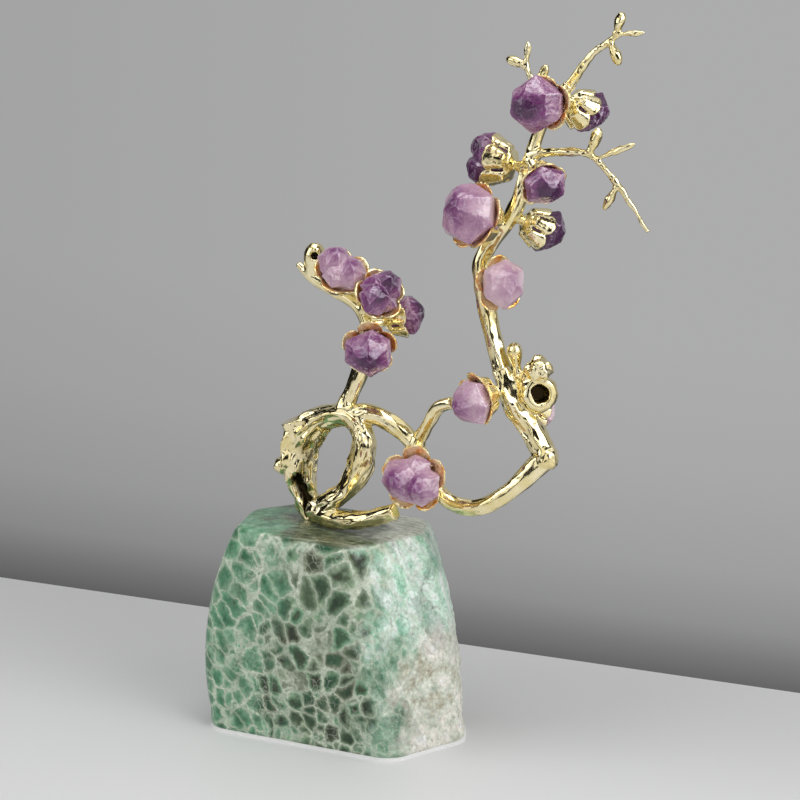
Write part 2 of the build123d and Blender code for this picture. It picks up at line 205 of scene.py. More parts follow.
# Linear colours of the fluorite: each ramp goes with a noise, from its low values to its high ones
CELL_HEARTS = (
    (0.0, (0.028, 0.032, 0.017)), (0.3, (0.040, 0.058, 0.030)), (0.65, (0.025, 0.095, 0.045)),
    (1.0, (0.075, 0.115, 0.062)),
)
CELL_SKINS = (
    (0.0, (0.15, 0.17, 0.105)), (0.4, (0.15, 0.24, 0.135)), (0.75, (0.12, 0.30, 0.155)),
    (1.0, (0.28, 0.34, 0.23)),
)
EMERALD = ((0.32, (0.035, 0.17, 0.08)), (0.5, (0.12, 0.37, 0.21)), (0.68, (0.38, 0.64, 0.45)))
MINT = (
    (0.34, (0.20, 0.50, 0.33)), (0.45, (0.46, 0.72, 0.56)), (0.53, (0.72, 0.88, 0.78)),
    (0.62, (0.93, 0.98, 0.95)),
)
SPRAY = (
    (0.34, (0.06, 0.15, 0.085)), (0.46, (0.17, 0.36, 0.23)), (0.56, (0.38, 0.58, 0.44)),
    (0.66, (0.75, 0.83, 0.74)),
)
CHALK = (
    (0.33, (0.26, 0.22, 0.13)), (0.42, (0.58, 0.55, 0.44)), (0.48, (0.70, 0.74, 0.64)),
    (0.56, (0.86, 0.80, 0.73)),
    (0.64, (0.96, 0.97, 0.95)),
)
POLISHED = ((0.32, (0.018, 0.024, 0.012)), (0.5, (0.075, 0.095, 0.055)), (0.66, (0.27, 0.31, 0.21)))
POLISHED_DULL, POLISHED_PALE = (0.38, 0.39, 0.31), (0.95, 0.96, 0.89)
VEIN_DULL, VEIN_PALE = (0.38, 0.44, 0.31), (0.86, 0.91, 0.78)
MINT_CRACK, SPRAY_CRACK, CHALK_CRACK = (0.20, 0.30, 0.22), (0.70, 0.76, 0.66), (0.22, 0.20, 0.13)

# The block's length, from its emerald end to its chalky one, and the height over which its cells grow (m)
STONE_WAY = (0.891, 0.454, 0.0)
CELLS_RISE = 0.076

# The studio, in metres: corners of the table top, its colours with painted shade toward the wall, lamps as
# place, target, size and power
TABLE_TOP = ((-2.6, -2.6, 0), (2.6, -2.6, 0), (2.6, 0.183, 0), (-2.6, 0.032, 0))
TABLE_PAINTED_SHADES = ((0.0, (0.79, 0.79, 0.79)), (1.0, (0.58, 0.58, 0.585)))
LAMPS = {
    "key": ((0.95, -0.30, 0.75), (0.02, 0, 0.12), (0.7, 0.7), 5.4),
    "fill": ((-0.75, -0.75, 0.6), (0.02, 0, 0.12), (0.7, 0.6), 2.6),
    "top": ((0.1, -0.2, 1.15), (0.02, 0, 0.1), (0.7, 0.5), 3.6),
}
# The wall: what is up along it, its grey from the table's edge upward with a painted shadow band at the edge,
# and the dark side of the room
WALL_UP = (-0.0097, 0.3329, 0.9429)
WALL_GREY_WITH_SHADOW = (
    (0.10, (0.115, 0.115, 0.117)), (0.18, (0.181, 0.181, 0.183)), (0.26, (0.262, 0.262, 0.264)),
    (0.41, (0.328, 0.328, 0.329)), (0.66, (0.371, 0.372, 0.371)), (1.0, (0.395, 0.396, 0.396)),
)
EVEN_SHADES = ((0.3, (0.36, 0.36, 0.365)), (0.7, (0.44, 0.44, 0.445)))
BAND_SHADES = ((0.20, 0.006), (0.32, 0.05), (0.42, 0.88), (0.58, 1.06))
DARK_WAY = (-0.87, -0.40, 0.28)
DARK = (0.006, 0.006, 0.006)
CAMERA_PLACE = (0.3297, -0.6074, 0.2558)
CAMERA_TILT, CAMERA_TURN = 79, 27
LENS, SENSOR = 90, 36
CLIP_START = 0.01

# Where noise has most of its values
NOISE_LOW, NOISE_HIGH = 0.3, 0.7


def spot(place):
    """Point at x, y and a height above the stone's top, given in millimetres."""
    return Vector((place[0] * MM, place[1] * MM, STONE_TOP + place[2] * MM))


def clamped(value):
    """The value kept between 0 and 1."""
    return max(0.0, min(1.0, value))


# Shader nodes

def plugged(tree, made, values):
    """Fills a node's sockets; each value is a constant or the socket it comes from."""
    for key, value in values.items():
        if isinstance(value, bpy.types.NodeSocket):
            tree.links.new(value, made.inputs[key])
        else:
            made.inputs[key].default_value = value


def node(tree, kind, values, **settings):
    """A shader node with its settings and the values of its sockets."""
    made = tree.nodes.new("ShaderNode" + kind)
    for key, value in settings.items():
        setattr(made, key, value)
    plugged(tree, made, values)
    return made


def material(name):
    """An empty node material: its tree, and the shader at its end."""
    made = bpy.data.materials.new(name)
    made.use_nodes = True
    return made, made.node_tree, made.node_tree.nodes["Principled BSDF"]


def ramp(tree, factor, stops):
    """A colour ramp over the factor: stops of position and linear colour or grey."""
    made = node(tree, "ValToRGB", {"Fac": factor})
    elements = made.color_ramp.elements
    while len(elements) < len(stops):
        elements.new(0.5)
    for element, (place, colour) in zip(elements, stops):
        element.position = place
        element.color = (colour, colour, colour, 1) if isinstance(colour, float) else (*colour, 1)
    return made.outputs["Color"]


def mix(tree, factor, first, second):
    """Two colours mixed by a factor."""
    first, second = (value if isinstance(value, bpy.types.NodeSocket) else (*value, 1)
                     for value in (first, second))
    return node(tree, "Mix", {0: factor, 6: first, 7: second}, data_type="RGBA").outputs[2]


def between(tree, value, low, high):
    """A soft step from 0 at low to 1 at high."""
    return node(tree, "MapRange", {"Value": value, "From Min": low, "From Max": high},
                interpolation_type="SMOOTHSTEP").outputs["Result"]


def spread(tree, value, first, last, low=0.0, high=1.0):
    """The value carried in a straight line: first at low, last at high."""
    return node(tree, "MapRange", {"Value": value, "From Min": low, "From Max": high, "To Min": first,
                                   "To Max": last}).outputs["Result"]


def swayed(tree, value, first, last):
    """A noise carried to the range from first to last."""
    return spread(tree, value, first, last, NOISE_LOW, NOISE_HIGH)


def times(tree, first, second):
    return node(tree, "Math", {0: first, 1: second}, operation="MULTIPLY").outputs[0]


def plus(tree, first, second):
    return node(tree, "Math", {0: first, 1: second}, operation="ADD").outputs[0]


def scaled(tree, vector, amount):
    """A vector or a colour times a number."""
    return node(tree, "VectorMath", {0: vector, "Scale": amount}, operation="SCALE").outputs[0]


def stretched(tree, place, shares):
    """A vector times another, axis by axis."""
    return node(tree, "VectorMath", {0: place, 1: shares}, operation="MULTIPLY").outputs[0]


def along(tree, place, way):
    """How far a place lies along a way."""
    return node(tree, "VectorMath", {0: place, 1: way}, operation="DOT_PRODUCT").outputs["Value"]


def axis(tree, vector, name):
    return node(tree, "SeparateXYZ", {0: vector}).outputs[name]


def grain(tree, place, scale, detail=4.0, roughness=0.55):
    return node(tree, "TexNoise", {"Vector": place, "Scale": scale, "Detail": detail,
                                   "Roughness": roughness}).outputs["Fac"]


def jolted(tree, moving, place, scale, detail, reach):
    """A vector moved a little by the noise at a place."""
    colour = node(tree, "TexNoise", {"Vector": place, "Scale": scale, "Detail": detail}).outputs["Color"]
    centred = node(tree, "VectorMath", {0: colour, 1: (0.5, 0.5, 0.5)}, operation="SUBTRACT").outputs[0]
    return node(tree, "VectorMath", {0: moving, 1: scaled(tree, centred, reach)}, operation="ADD").outputs[0]


def cells(tree, place, scale):
    """Cells of uneven shape: the distance from each middle, and a colour for each cell."""
    return node(tree, "TexVoronoi", {"Vector": place, "Scale": scale}, feature="F1").outputs


def cell_edges(tree, place, scale):
    """The distance from the edges of the same cells."""
    return node(tree, "TexVoronoi", {"Vector": place, "Scale": scale},
                feature="DISTANCE_TO_EDGE").outputs["Distance"]


def object_place(tree):
    return node(tree, "TexCoord", {}).outputs["Object"]


def geometry(tree, name):
    return node(tree, "NewGeometry", {}).outputs[name]


def noted_value(tree, name):
    """The value that a piece notes at its vertices under this name."""
    return node(tree, "Attribute", {}, attribute_name=name).outputs["Fac"]


def bumped(tree, height, strength, distance):
    made = node(tree, "Bump", {"Height": height, "Strength": strength, "Distance": distance})
    return made.outputs["Normal"]


# Materials

def gilt_material():
    """Polished cast gilding: pale champagne, duller and warmer in the hollows through painted shade, painted
    dark shade in the hollow bores and grooves, amber inside the cups.
    """
    made, tree, shader = material("gilt")
    place = object_place(tree)
    crease_shading = geometry(tree, "Pointiness")
    inner = noted_value(tree, "inner")
    fine = grain(tree, place, 900, 3)
    colour = mix(tree, between(tree, grain(tree, place, 160, 5), 0.35, 0.65), GILT_PALE, GILT_BRIGHT)
    # painted shade: the gold turns warmer, then darker, in the creases
    colour = mix(tree, between(tree, crease_shading, 0.49, 0.42), colour, GILT_CREASE_SHADE_WARM)
    colour = mix(tree, between(tree, crease_shading, 0.46, 0.40), colour, GILT_CREASE_SHADE_DARK)
    amber = mix(tree, between(tree, grain(tree, place, 330, 3), 0.34, 0.6), AMBER_DEEP, AMBER_PALE)
    colour = mix(tree, inner, colour, amber)
    plugged(tree, shader, {
        # painted shade in the hollow bores and the grooves, from the noted deep values
        "Base Color": mix(tree, noted_value(tree, "deep"), colour, GILT_PAINTED_SHADE),
        "Metallic": spread(tree, inner, 1.0, 0.72),
        "Roughness": spread(tree, fine, 0.07, 0.19),
        "Normal": bumped(tree, fine, 0.15, 0.0002),
    })
    return made


def amethyst_material():
    """Rough amethyst: pale lilac skin, deep purple heart, painted shading and a painted sheen on the facets,
    frosty edges and cracks.
    """
    made, tree, shader = material("amethyst")
    place = object_place(tree)
    tone, zone = noted_value(tree, "tone"), noted_value(tree, "zone")
    # painted facet shading: a tone that shifts with the way each facet faces
    facet_shading = grain(tree, geometry(tree, "Normal"), 1.7, 1.0)
    patchy = plus(tree, swayed(tree, grain(tree, place, 190, 5, 0.6), -0.24, 0.24),
                  spread(tree, facet_shading, 0.24, -0.20, 0.35, 0.65))
    patchy = plus(tree, patchy, times(tree, zone, 0.85))
    lively = spread(tree, tone, 0.25, 1.0)
    depth = plus(tree, times(tree, tone, 0.5), times(tree, patchy, lively))
    edge = between(tree, geometry(tree, "Pointiness"), 0.52, 0.60)
    cracks = times(tree, between(tree, cell_edges(tree, place, 260), 0.06, 0.0),
                   between(tree, grain(tree, place, 140), 0.48, 0.66))
    # painted sheen on some facets
    painted_sheen = times(tree, between(tree, facet_shading, 0.52, 0.66),
                  between(tree, grain(tree, place, 330, 5), 0.36, 0.62))
    frost_and_sheen = plus(tree, times(tree, edge, 0.3), plus(tree, times(tree, cracks, 0.25),
                                                    times(tree, times(tree, painted_sheen, lively), 0.45)))
    plugged(tree, shader, {
        "Base Color": mix(tree, frost_and_sheen, ramp(tree, depth, AMETHYST_DEPTHS), FROST_AND_SHEEN),
        "Subsurface Weight": 0.3,
        "Subsurface Radius": (1.0, 0.7, 1.0),
        "Subsurface Scale": 0.002,
        "Transmission Weight": 0.14,
        "IOR": 1.54,
        "Specular IOR Level": 0.65,
        "Roughness": spread(tree, grain(tree, place, 420, 4), 0.05, 0.32),
        "Normal": bumped(tree, grain(tree, place, 700, 4), 0.35, 0.0004),
    })
    return made


def stone_material():
    """Fluorite: grey-green cells in a net of pale veins, emerald at one end, mint and chalky at the other."""
    made, tree, shader = material("fluorite")
    place = object_place(tree)
    rock = SimpleNamespace(tree=tree, place=place, height=axis(tree, place, "Z"))
    rock.cloud = grain(tree, place, 62, 6, 0.6)
    rock.fine = grain(tree, place, 700, 5, 0.65)
    rock.blotch = grain(tree, place, 170, 6, 0.65)
    rock.warped = jolted(tree, place, place, 130, 3.0, 0.0045)
    rock.warped = jolted(tree, rock.warped, place, 520, 3.0, 0.0017)
    rock.warped = jolted(tree, rock.warped, place, 48, 1.0, 0.006)
    stone_zones(rock)
    colour = stone_ends(rock, stone_cells(rock))
    net = stone_net(rock)
    colour = mix(tree, net, colour, mix(tree, rock.fine, VEIN_DULL, VEIN_PALE))
    colour = stone_top(rock, colour)
    dull = plus(tree, times(tree, rock.side, 0.6), times(tree, net, 0.5))
    plugged(tree, shader, {
        "Base Color": scaled(tree, colour, swayed(tree, rock.fine, 0.75, 1.25)),
        "Roughness": spread(tree, dull, 0.16, 0.7),
        "Specular IOR Level": 0.35,
        "Normal": bumped(tree, plus(tree, times(tree, rock.fine, 0.6), net), 0.4, 0.0004),
    })
    return made


def stone_zones(rock):
    """Where the block is emerald, minty or chalky: soft borders along its length and up its side."""
    tree = rock.tree
    drifted = plus(tree, along(tree, rock.place, STONE_WAY), swayed(tree, rock.cloud, -0.010, 0.010))
    raised = plus(tree, rock.height, swayed(tree, grain(tree, rock.place, 45, 5), -0.012, 0.012))
    rock.left = between(tree, drifted, -0.020, -0.032)
    rock.right = between(tree, drifted, 0.002, 0.014)
    rock.side = between(tree, drifted, 0.017, 0.025)
    rock.upper = between(tree, raised, 0.032, 0.044)
    rock.emerald = ramp(tree, rock.blotch, EMERALD)


def stone_cells(rock):
    """The cells, smaller toward the foot: dark hearts, paler skins, emerald at the left end."""
    tree = rock.tree
    size = spread(tree, rock.height, 1.65, 0.80, 0.0, CELLS_RISE)
    tall = spread(tree, rock.height, 1.45, 1.08, 0.0, CELLS_RISE)
    crowd = node(tree, "CombineXYZ", {"X": size, "Y": size, "Z": tall}).outputs[0]
    packed = stretched(tree, rock.warped, crowd)
    cell = cells(tree, packed, 125)
    rim = plus(tree, cell_edges(tree, packed, 125), swayed(tree, rock.fine, -0.04, 0.04))
    rock.rim = plus(tree, rim, spread(tree, cell["Distance"], 0.0, -0.12, 0.48, 0.9))
    heart = ramp(tree, axis(tree, cell["Color"], "X"), CELL_HEARTS)
    skin = ramp(tree, axis(tree, cell["Color"], "Y"), CELL_SKINS)
    fill = mix(tree, between(tree, rock.rim, 0.32, 0.05), heart, skin)
    fill = scaled(tree, fill, swayed(tree, rock.blotch, 0.55, 1.45))
    return mix(tree, times(tree, rock.left, 0.55), fill, rock.emerald)


def stone_ends(rock, fill):
    """The green spray, the chalky corner and the mint fan, in cracked faces, laid over the cells."""
    tree = rock.tree
    fan_place = node(tree, "VectorRotate", {"Vector": rock.warped, "Angle": 0.6},
                     rotation_type="Y_AXIS").outputs[0]
    fan_place = stretched(tree, fan_place, (1.7, 1.0, 0.4))
    fan = grain(tree, fan_place, 150, 8, 0.72)
    lines = cell_edges(tree, stretched(tree, fan_place, (2.2, 1.0, 1.0)), 95)
    crack = times(tree, between(tree, lines, 0.05, 0.0), between(tree, rock.blotch, 0.42, 0.58))
    glint = spread(tree, axis(tree, cells(tree, fan_place, 78)["Color"], "X"), 0.74, 1.14)
    chalky = grain(tree, rock.place, 75, 8, 0.72)
    fanned = times(tree, rock.right, rock.upper)
    for share, colour, crack_depth, crack_colour in (
        (times(tree, rock.right, 0.75), ramp(tree, fan, SPRAY), 0.6, SPRAY_CRACK),
        (times(tree, rock.side, 0.95), ramp(tree, chalky, CHALK), 0.55, CHALK_CRACK),
        (times(tree, fanned, 0.9), ramp(tree, fan, MINT), 0.6, MINT_CRACK),
    ):
        cracked = mix(tree, times(tree, crack, crack_depth), colour, crack_colour)
        fill = mix(tree, share, fill, scaled(tree, cracked, glint))
    return fill


def stone_net(rock):
    """The net of veins with their halos, and hairlines, fading toward the mint and chalky end."""
    tree = rock.tree
    strong = spread(tree, grain(tree, rock.place, 110, 3), 0.2, 1.0, 0.35, 0.6)
    vein = times(tree, between(tree, rock.rim, 0.062, 0.0), strong)
    halo = between(tree, rock.rim, 0.22, 0.02)
    hair = times(tree, between(tree, cell_edges(tree, rock.warped, 330), 0.08, 0.0),
                 between(tree, rock.cloud, 0.45, 0.62))
    net = plus(tree, times(tree, vein, 0.66), plus(tree, times(tree, halo, 0.2), times(tree, hair, 0.4)))
    pale = plus(tree, times(tree, rock.right, 0.45), times(tree, rock.side, 0.4))
    return times(tree, net, spread(tree, pale, 1.0, 0.15))


def stone_top(rock, colour):
    """The polished top: fine streaks, emerald at the left end and pale at the right one."""
    tree = rock.tree
    streak = grain(tree, stretched(tree, rock.place, (0.3, 1.4, 1.0)), 420, 6, 0.65)
    polished = mix(tree, times(tree, rock.left, 0.7), ramp(tree, streak, POLISHED), rock.emerald)
    pale = mix(tree, between(tree, streak, 0.3, 0.6), POLISHED_DULL, POLISHED_PALE)
    polished = mix(tree, times(tree, rock.right, 0.8), polished, pale)
    level = between(tree, axis(tree, geometry(tree, "Normal"), "Z"), 0.75, 0.95)
    return mix(tree, times(tree, level, 0.85), colour, polished)


def plain_material(name, dark, light, scale, roughness, metallic=0.0):
    """A quiet surface with a fine grain between two close colours."""
    made, tree, shader = material(name)
    cloud = grain(tree, object_place(tree), scale, 6, 0.6)
    plugged(tree, shader, {
        "Base Color": mix(tree, cloud, dark, light),
        "Metallic": metallic,
        "Roughness": spread(tree, cloud, roughness - 0.1, roughness + 0.1),
        "Normal": bumped(tree, cloud, 0.2, 0.0002),
    })
    return made


GILT = gilt_material()
AMETHYST = amethyst_material()
FLUORITE = stone_material()
PAD = plain_material("pad", (0.84, 0.84, 0.83), (0.95, 0.95, 0.94), 500, 0.6)
PIN = plain_material("pin_steel", (0.40, 0.40, 0.41), (0.56, 0.56, 0.57), 800, 0.35, 1.0)


# Mesh tools

def skinned(form, name, voxel, ease):
    """One closed skin round everything in the form, eased by a few smoothing steps."""
    mesh = bpy.data.meshes.new(name)
    form.to_mesh(mesh)
    form.free()
    made = bpy.data.objects.new(name, mesh)
    bpy.context.scene.collection.objects.link(made)
    skin = made.modifiers.new("skin", "REMESH")
    skin.mode = "VOXEL"
    skin.voxel_size = voxel * MM
    soft = made.modifiers.new("ease", "SMOOTH")
    soft.iterations = ease
    shaped = made.evaluated_get(bpy.context.evaluated_depsgraph_get())
    made.modifiers.clear()
    made.data = bpy.data.meshes.new_from_object(shaped)
    made.data.name = name
    bpy.data.meshes.remove(mesh)
    return made


def moved(piece, rule):
    """Moves each vertex along its normal by the rule's distance at that place."""
    normals = [vertex.normal.copy() for vertex in piece.data.vertices]
    for vertex, normal in zip(piece.data.vertices, normals):
        vertex.co += normal * rule(vertex.co, normal)
    piece.data.update()


def noted(piece, name, values):
    """Notes a value at each vertex, for the materials."""
    made = piece.data.attributes.get(name) or piece.data.attributes.new(name, "FLOAT", "POINT")
    made.data.foreach_set("value", values)


def held(piece, node_name, surface):
    """Puts a finished piece on the object in place of its CAD node."""
    piece.data.materials.clear()
    piece.data.materials.append(surface)
    piece.data.shade_smooth()
    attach(piece, "root")
    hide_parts(node_name)


def waves(place, per_mm, seed=0):
    """Smooth noise between about -1 and 1."""
    return noise.noise(place * (per_mm / MM) + Vector((seed * 7.3, seed * 3.1, seed * 5.7)))


# Gilt branches

def axis_of(stations):
    """Points and radii along a smooth axis through the stations, a small step apart."""
    points = [spot(station) for station in stations]
    gaps = [(points[i + 1] - points[i]).length for i in range(len(points) - 1)]
    ways = [(points[1] - points[0]) / gaps[0]]
    for i in range(1, len(points) - 1):
        after = (points[i + 1] - points[i]) / gaps[i]
        before = (points[i] - points[i - 1]) / gaps[i - 1]
        ways.append((after * gaps[i - 1] + before * gaps[i]) / (gaps[i] + gaps[i - 1]))
    ways.append((points[-1] - points[-2]) / gaps[-1])
    line = []
    for i, gap in enumerate(gaps):
        steps = max(3, round(gap / (AXIS_STEP * MM)))
        for k in range(steps + (i == len(gaps) - 1)):
            t = k / steps
            place = (points[i] * (2 * t**3 - 3 * t**2 + 1) + ways[i] * gap * (t**3 - 2 * t**2 + t)
                     + points[i + 1] * (3 * t**2 - 2 * t**3) + ways[i + 1] * gap * (t**3 - t**2))
            line.append((place, (stations[i][3] + (stations[i + 1][3] - stations[i][3]) * t) * MM))
    return line


def bark(turn, run, seed):
    """How far the bark stands out at a turn round a branch and a run along it, as a share of the radius."""
    c, s = math.cos(turn), math.sin(turn)

    def ridges(across, lengthwise):
        return noise.noise(Vector((c * across, s * across + seed * 3, run * lengthwise)))

    broad = noise.noise(Vector((c * 1.5 + seed * 5, s * 1.5, run * 0.04)))
    crease = abs(ridges(2.8, 0.045)) - 0.25
    return 0.15 * broad + 0.30 * crease + 0.08 * ridges(5.5, 0.035) + 0.03 * ridges(3.1, 0.24)


def limb(form, stations, seed, ridges=1.0):
    """A branch of the casting: long ridges that turn slowly round it, and swellings."""
    line = axis_of(stations)
    side = (line[1][0] - line[0][0]).normalized().orthogonal().normalized()
    rings = []
    run = 0.0
    for i, (place, radius) in enumerate(line):
        way = (line[min(i + 1, len(line) - 1)][0] - line[max(i - 1, 0)][0]).normalized()
        side = (side - way * side.dot(way)).normalized()
        other = way.cross(side)
        if i:
            run += (place - line[i - 1][0]).length / MM
        swell = LIMB_SWELL * noise.noise(Vector((seed * 9.1, 0.4, run * 0.17)))
        ring = []
        for k in range(LIMB_SIDES):
            angle = 2 * math.pi * k / LIMB_SIDES
            reach = radius * (1 + swell + ridges * bark(angle + run * LIMB_TURN, run, seed))
            ring.append(form.verts.new(place + (side * math.cos(angle) + other * math.sin(angle)) * reach))
        rings.append(ring)
    for first, second in zip(rings, rings[1:]):
        for k in range(LIMB_SIDES):
            after = (k + 1) % LIMB_SIDES
            form.faces.new((first[k], first[after], second[after], second[k]))
    form.faces.new(list(reversed(rings[0])))
    form.faces.new(rings[-1])


def bud(form, base, tip, radius, seed):
    """A plump bud on a narrow neck, with a small collar where it leaves the twig."""
    start, way = Vector(base), Vector(tip) - Vector(base)
    limb(form, [(*(start + way * share), radius * swell) for share, swell in BUD_PROFILE], seed, 0.6)


def knob(form, place, radius, seed, rough=0.16):
    """A knotty swelling of the casting."""
    middle = spot(place)
    made = bmesh.ops.create_icosphere(form, subdivisions=4, radius=1.0, matrix=Matrix.Translation(middle))
    for vertex in made["verts"]:
        way = (vertex.co - middle).normalized()
        lumps = noise.noise(way * 1.6 + Vector((seed, 0, 0)))
        lumps += 0.6 * noise.noise(way * 3.6 + Vector((0, seed, 0)))
        vertex.co = middle + way * radius * MM * (1 + rough * lumps)


def spur(form, root, way, parent_radius, end_radius, seed, flare=0.9, over=0.6):
    """A short stub from the parent's axis to just past its flat end."""
    start, reach = Vector(root), Vector(way).normalized()
    length = parent_radius + SPUR_LENGTH
    shares = ((0, flare * 1.5), (0.4, flare * 0.9), (0.75, flare * 0.35), (1, 0))
    stations = [(*(start + reach * length * share), end_radius + wider) for share, wider in shares]
    stations.append((*(start + reach * (length + over)), end_radius))
    limb(form, stations, seed, 0.5)


def hollow_stub(form, hole):
    """The bulb whose end is hollow, swollen round its mouth."""
    start, reach = Vector(hole.root), Vector(hole.way).normalized()
    limb(form, [(*(start + reach * hole.length * share), radius) for share, radius in HOLLOW_STUB], 9, 0.5)


def hollow(piece, hole):
    """Sinks a round hollow with an uneven mouth into a cut end, with painted shade inside it."""
    way = Vector(hole.way).normalized()
    mouth = spot(hole.root) + way * hole.length * MM
    shares = [0.0] * len(piece.data.vertices)
    for index, vertex in enumerate(piece.data.vertices):
        offset = vertex.co - mouth
        height = offset.dot(way)
        aside = offset - way * height
        edge = hole.bore * (1 + 0.22 * noise.noise(aside * (0.35 / MM))) + 0.4
        gap = edge - aside.length / MM
        if abs(height) < 2.0 * MM and gap > 0:
            share = min(1.0, gap / 0.8)
            vertex.co -= way * hole.depth * share * MM
            shares[index] = clamped(2.2 * share - 0.9)
    piece.data.update()
    # painted shade inside the hollow
    note_painted_shade(piece, shares)


def scoop(piece, line, reach, depth, dark):
    """Presses a groove along a line into the casting, with painted shade that is darkest at its bottom."""
    points = [spot(point) for point in line]
    shares = []

    def pressed(place, normal):
        gap = reach
        for first, second in zip(points, points[1:]):
            step = second - first
            share = clamped((place - first).dot(step) / step.length_squared)
            gap = min(gap, (place - first - step * share).length / MM)
        shares.append((1 - (gap / reach) ** 2) ** 1.5)
        return -MM * depth * shares[-1]

    moved(piece, pressed)
    # painted shade along the groove
    note_painted_shade(piece, [min(1.0, 1.5 * dark * share) for share in shares])


def note_painted_shade(piece, shares):
    """Notes how dark the painted shade on the casting is at each vertex, on top of what was noted before."""
    deep = piece.data.attributes.get("deep")
    if deep:
        before = [0.0] * len(shares)
        deep.data.foreach_get("value", before)
        shares = [max(pair) for pair in zip(before, shares)]
    noted(piece, "deep", shares)


def trunk_forms():
    """Bole, ring, root stub, right-hand loop and the knot with its knobs, bud and hollow bulb."""
    form = bmesh.new()
    limb(form, BOLE_AND_RING, 1, 1.7)
    limb(form, ROOT_STUB, 2)
    limb(form, RIGHT_LOOP, 3, 0.75)
    limb(form, KNOT, 4, 1.2)
    knob(form, (-11, -3, 5.2), 4.6, 1)
    spur(form, (-20, 3, 27), (-0.34, -0.17, 0.92), 7.5, 4.9, 5, 0.3, 0.5)
    knob(form, (-29.2, 3, 18.3), 3.2, 2)
    knob(form, (73, 6, 31), 4.4, 3)
    knob(form, (69.5, 6.5, 61), 4.2, 4, 0.4)
    bud(form, (60.5, 8, 52), (69.5, 6.5, 62), 3.4, 6)
    limb(form, KNOT_BUD, 10, 0.6)
    spur(form, (-3, 1, 39.5), (0.25, 0.1, 0.96), 4.0, 3.0, 7)
    spur(form, (25, 3, 30.5), (0.45, -0.15, 0.88), 2.9, 2.3, 8)
    hollow_stub(form, HOLES["trunk"])
    return form


def stem_forms():
    """The tall stem, with the stubs that carry two of the thin twigs."""
    form = bmesh.new()
    limb(form, MAIN_STEM, 11, 0.85)
    spur(form, (70, 14, 149), (-0.75, 0, 0.66), 2.2, 1.7, 12)
    spur(form, (62.5, 14, 132), (0.9, -0.28, 0.33), 2.4, 1.7, 13)
    return form


def left_forms():
    """The left-hand branch and the hollow bulb of its claw."""
    form = bmesh.new()
    limb(form, LEFT_BRANCH, 14)
    limb(form, CLAW, 15, 0.7)
    return form


def cut_forms():
    """The short twig with a blunt end."""
    form = bmesh.new()
    limb(form, CUT_TWIG, 16, 0.7)
    return form


def twig_forms(stations, seed, buds):
    """A thin twig with its buds."""
    form = bmesh.new()
    limb(form, stations, seed)
    for base, tip, radius, bud_seed in buds:
        bud(form, base, tip, radius, bud_seed)
    return form


def casting(node_name, form, voxel=CAST_VOXEL, lumps=0.0):
    """One gilt casting: its forms and the cups' spurs under one skin, with the unevenness of the mould."""
    for index, blossom in enumerate(BLOSSOMS.values()):
        if blossom.branch == node_name:
            spur(form, blossom.root, blossom.way, blossom.radius, SPUR_RADIUS, index + SPUR_SEED)
    piece = skinned(form, node_name + "_cast", voxel, 5)
    if node_name in HOLES:
        hollow(piece, HOLES[node_name])
    if node_name == "trunk":
        for groove in GROOVES:
            scoop(piece, *groove)
    moved(piece, lambda p, n: MM * (0.02 * waves(p, 0.35, 1) + 0.008 * waves(p, 1.2, 2)
                                    + lumps * (waves(p, 0.42, 3) - 0.35)))
    held(piece, node_name, GILT)


casting("trunk", trunk_forms())
casting("main_stem", stem_forms())
casting("left_branch", left_forms())
casting("cut_twig", cut_forms())
for twig_name, twig_row in TWIGS.items():
    casting(twig_name, twig_forms(*twig_row), THIN_VOXEL, TWIG_LUMPS)


# Blossoms

def seat_frame(blossom):
    """The frame of a stone's seat: its axis outward, its middle on top of the cup's foot."""
    way = Vector(blossom.way).normalized()
    first = Vector((0, 0, 1))
    first = (first - way * first.dot(way)).normalized()
    place = spot(blossom.root) + way * (blossom.radius + SPUR_LENGTH + CUP_FOOT) * MM
    turn = Matrix((first, way.cross(first), way)).transposed()
    return Matrix.Translation(place) @ turn.to_4x4()


def blended(share, stops):
    """The value at a share, eased between the stops beside it."""
    for (low, first), (high, second) in zip(stops, stops[1:]):
        if share <= high:
            t = (share - low) / (high - low)
            t = t * t * (3 - 2 * t) * 0.4 + t * 0.6
            return first + (second - first) * t
    return stops[-1][1]


